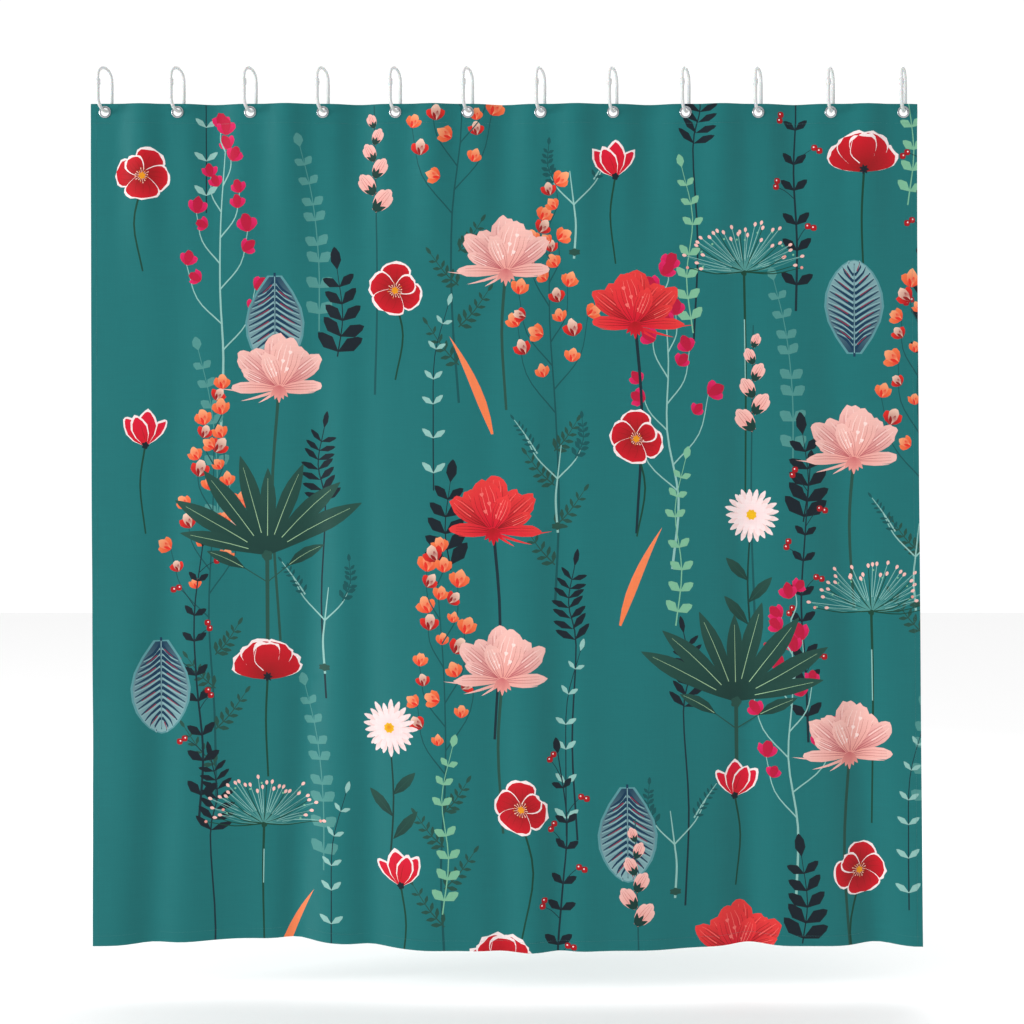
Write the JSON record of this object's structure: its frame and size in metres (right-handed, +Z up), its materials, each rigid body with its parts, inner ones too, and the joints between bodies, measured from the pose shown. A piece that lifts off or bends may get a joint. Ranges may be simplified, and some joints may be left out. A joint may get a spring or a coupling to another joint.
{
  "type": "shower curtain",
  "caption": "Flat hemmed shower curtain with a botanical print on a teal ground, hung by metal eyelets from white plastic snap hooks.",
  "frame": {"origin": "on the axis of the rail that the hooks hang from, half way along the curtain", "axes": "+X along the rail, to the right as seen from the printed side; +Y away from the printed side, towards the bath; +Z up"},
  "size_m": [1.793, 0.0734, 1.9095],
  "materials": {
    "printed_cloth": "woven polyester, teal with a printed pattern",
    "eyelet_metal": "polished",
    "hook_plastic": "smooth moulded, white"
  },
  "bodies": {
    "hook_01": {"hook_01": "hook_plastic"},
    "curtain": {"curtain_panel": "printed_cloth", "header_hem": "printed_cloth", "bottom_hem": "printed_cloth", "left_hem": "printed_cloth", "right_hem": "printed_cloth", "eyelet_01": "eyelet_metal", "washer_01": "eyelet_metal"},
    "eyelet_12": {"eyelet_12": "eyelet_metal", "washer_12": "eyelet_metal"},
    "hook_12": {"hook_12": "hook_plastic"},
    "eyelet_11": {"eyelet_11": "eyelet_metal", "washer_11": "eyelet_metal"},
    "hook_11": {"hook_11": "hook_plastic"},
    "eyelet_10": {"eyelet_10": "eyelet_metal", "washer_10": "eyelet_metal"},
    "hook_10": {"hook_10": "hook_plastic"},
    "eyelet_09": {"eyelet_09": "eyelet_metal", "washer_09": "eyelet_metal"},
    "hook_09": {"hook_09": "hook_plastic"},
    "eyelet_08": {"eyelet_08": "eyelet_metal", "washer_08": "eyelet_metal"},
    "hook_08": {"hook_08": "hook_plastic"},
    "eyelet_07": {"eyelet_07": "eyelet_metal", "washer_07": "eyelet_metal"},
    "hook_07": {"hook_07": "hook_plastic"},
    "eyelet_06": {"eyelet_06": "eyelet_metal", "washer_06": "eyelet_metal"},
    "hook_06": {"hook_06": "hook_plastic"},
    "eyelet_05": {"eyelet_05": "eyelet_metal", "washer_05": "eyelet_metal"},
    "hook_05": {"hook_05": "hook_plastic"},
    "eyelet_04": {"eyelet_04": "eyelet_metal", "washer_04": "eyelet_metal"},
    "hook_04": {"hook_04": "hook_plastic"},
    "eyelet_03": {"eyelet_03": "eyelet_metal", "washer_03": "eyelet_metal"},
    "hook_03": {"hook_03": "hook_plastic"},
    "eyelet_02": {"eyelet_02": "eyelet_metal", "washer_02": "eyelet_metal"},
    "hook_02": {"hook_02": "hook_plastic"}
  },
  "joints": [
    {"name": "curtain_sway", "type": "hinge", "parent": "hook_01", "child": "curtain", "pos_m": [-0.8655, 0, -0.0706], "axis": [1, 0, 0], "range_deg": [-20, 20]},
    {"name": "draw", "type": "slide", "parent": "curtain", "child": "eyelet_12", "axis": [-1, 0, 0], "range_m": [0, 1.291], "deforming": ["curtain_panel", "header_hem", "bottom_hem", "left_hem", "right_hem"]},
    {"name": "hook_12_hang", "type": "hinge", "parent": "eyelet_12", "child": "hook_12", "pos_m": [0.8655, 0, -0.0706], "axis": [1, 0, 0], "range_deg": [-20.5, 20.5]},
    {"name": "draw_11", "type": "slide", "parent": "curtain", "child": "eyelet_11", "axis": [-1, 0, 0], "range_m": [0, 1.1741]},
    {"name": "hook_11_hang", "type": "hinge", "parent": "eyelet_11", "child": "hook_11", "pos_m": [0.70814, 0, -0.0706], "axis": [1, 0, 0], "range_deg": [-20.5, 20.5]},
    {"name": "draw_10", "type": "slide", "parent": "curtain", "child": "eyelet_10", "axis": [-1, 0, 0], "range_m": [0, 1.0568]},
    {"name": "hook_10_hang", "type": "hinge", "parent": "eyelet_10", "child": "hook_10", "pos_m": [0.55077, 0, -0.0706], "axis": [1, 0, 0], "range_deg": [-20.5, 20.5]},
    {"name": "draw_09", "type": "slide", "parent": "curtain", "child": "eyelet_09", "axis": [-1, 0, 0], "range_m": [0, 0.9394]},
    {"name": "hook_09_hang", "type": "hinge", "parent": "eyelet_09", "child": "hook_09", "pos_m": [0.39341, 0, -0.0706], "axis": [1, 0, 0], "range_deg": [-20.5, 20.5]},
    {"name": "draw_08", "type": "slide", "parent": "curtain", "child": "eyelet_08", "axis": [-1, 0, 0], "range_m": [0, 0.822]},
    {"name": "hook_08_hang", "type": "hinge", "parent": "eyelet_08", "child": "hook_08", "pos_m": [0.23605, 0, -0.0706], "axis": [1, 0, 0], "range_deg": [-20.5, 20.5]},
    {"name": "draw_07", "type": "slide", "parent": "curtain", "child": "eyelet_07", "axis": [-1, 0, 0], "range_m": [0, 0.7047]},
    {"name": "hook_07_hang", "type": "hinge", "parent": "eyelet_07", "child": "hook_07", "pos_m": [0.07868, 0, -0.0706], "axis": [1, 0, 0], "range_deg": [-20.5, 20.5]},
    {"name": "draw_06", "type": "slide", "parent": "curtain", "child": "eyelet_06", "axis": [-1, 0, 0], "range_m": [0, 0.5873]},
    {"name": "hook_06_hang", "type": "hinge", "parent": "eyelet_06", "child": "hook_06", "pos_m": [-0.07868, 0, -0.0706], "axis": [1, 0, 0], "range_deg": [-20.5, 20.5]},
    {"name": "draw_05", "type": "slide", "parent": "curtain", "child": "eyelet_05", "axis": [-1, 0, 0], "range_m": [0, 0.47]},
    {"name": "hook_05_hang", "type": "hinge", "parent": "eyelet_05", "child": "hook_05", "pos_m": [-0.23605, 0, -0.0706], "axis": [1, 0, 0], "range_deg": [-20.5, 20.5]},
    {"name": "draw_04", "type": "slide", "parent": "curtain", "child": "eyelet_04", "axis": [-1, 0, 0], "range_m": [0, 0.3526]},
    {"name": "hook_04_hang", "type": "hinge", "parent": "eyelet_04", "child": "hook_04", "pos_m": [-0.39341, 0, -0.0706], "axis": [1, 0, 0], "range_deg": [-20.5, 20.5]},
    {"name": "draw_03", "type": "slide", "parent": "curtain", "child": "eyelet_03", "axis": [-1, 0, 0], "range_m": [0, 0.2352]},
    {"name": "hook_03_hang", "type": "hinge", "parent": "eyelet_03", "child": "hook_03", "pos_m": [-0.55077, 0, -0.0706], "axis": [1, 0, 0], "range_deg": [-20.5, 20.5]},
    {"name": "draw_02", "type": "slide", "parent": "curtain", "child": "eyelet_02", "axis": [-1, 0, 0], "range_m": [0, 0.1179]},
    {"name": "hook_02_hang", "type": "hinge", "parent": "eyelet_02", "child": "hook_02", "pos_m": [-0.70814, 0, -0.0706], "axis": [1, 0, 0], "range_deg": [-20.5, 20.5]}
  ],
  "couplings": [
    {"joint": "hook_12_hang", "follows": "curtain_sway", "ratio": -1},
    {"joint": "draw_11", "follows": "draw", "ratio": 0.90909},
    {"joint": "hook_11_hang", "follows": "curtain_sway", "ratio": -1},
    {"joint": "draw_10", "follows": "draw", "ratio": 0.81818},
    {"joint": "hook_10_hang", "follows": "curtain_sway", "ratio": -1},
    {"joint": "draw_09", "follows": "draw", "ratio": 0.72727},
    {"joint": "hook_09_hang", "follows": "curtain_sway", "ratio": -1},
    {"joint": "draw_08", "follows": "draw", "ratio": 0.63636},
    {"joint": "hook_08_hang", "follows": "curtain_sway", "ratio": -1},
    {"joint": "draw_07", "follows": "draw", "ratio": 0.54546},
    {"joint": "hook_07_hang", "follows": "curtain_sway", "ratio": -1},
    {"joint": "draw_06", "follows": "draw", "ratio": 0.45454},
    {"joint": "hook_06_hang", "follows": "curtain_sway", "ratio": -1},
    {"joint": "draw_05", "follows": "draw", "ratio": 0.36364},
    {"joint": "hook_05_hang", "follows": "curtain_sway", "ratio": -1},
    {"joint": "draw_04", "follows": "draw", "ratio": 0.27273},
    {"joint": "hook_04_hang", "follows": "curtain_sway", "ratio": -1},
    {"joint": "draw_03", "follows": "draw", "ratio": 0.18182},
    {"joint": "hook_03_hang", "follows": "curtain_sway", "ratio": -1},
    {"joint": "draw_02", "follows": "draw", "ratio": 0.090909},
    {"joint": "hook_02_hang", "follows": "curtain_sway", "ratio": -1}
  ]
}
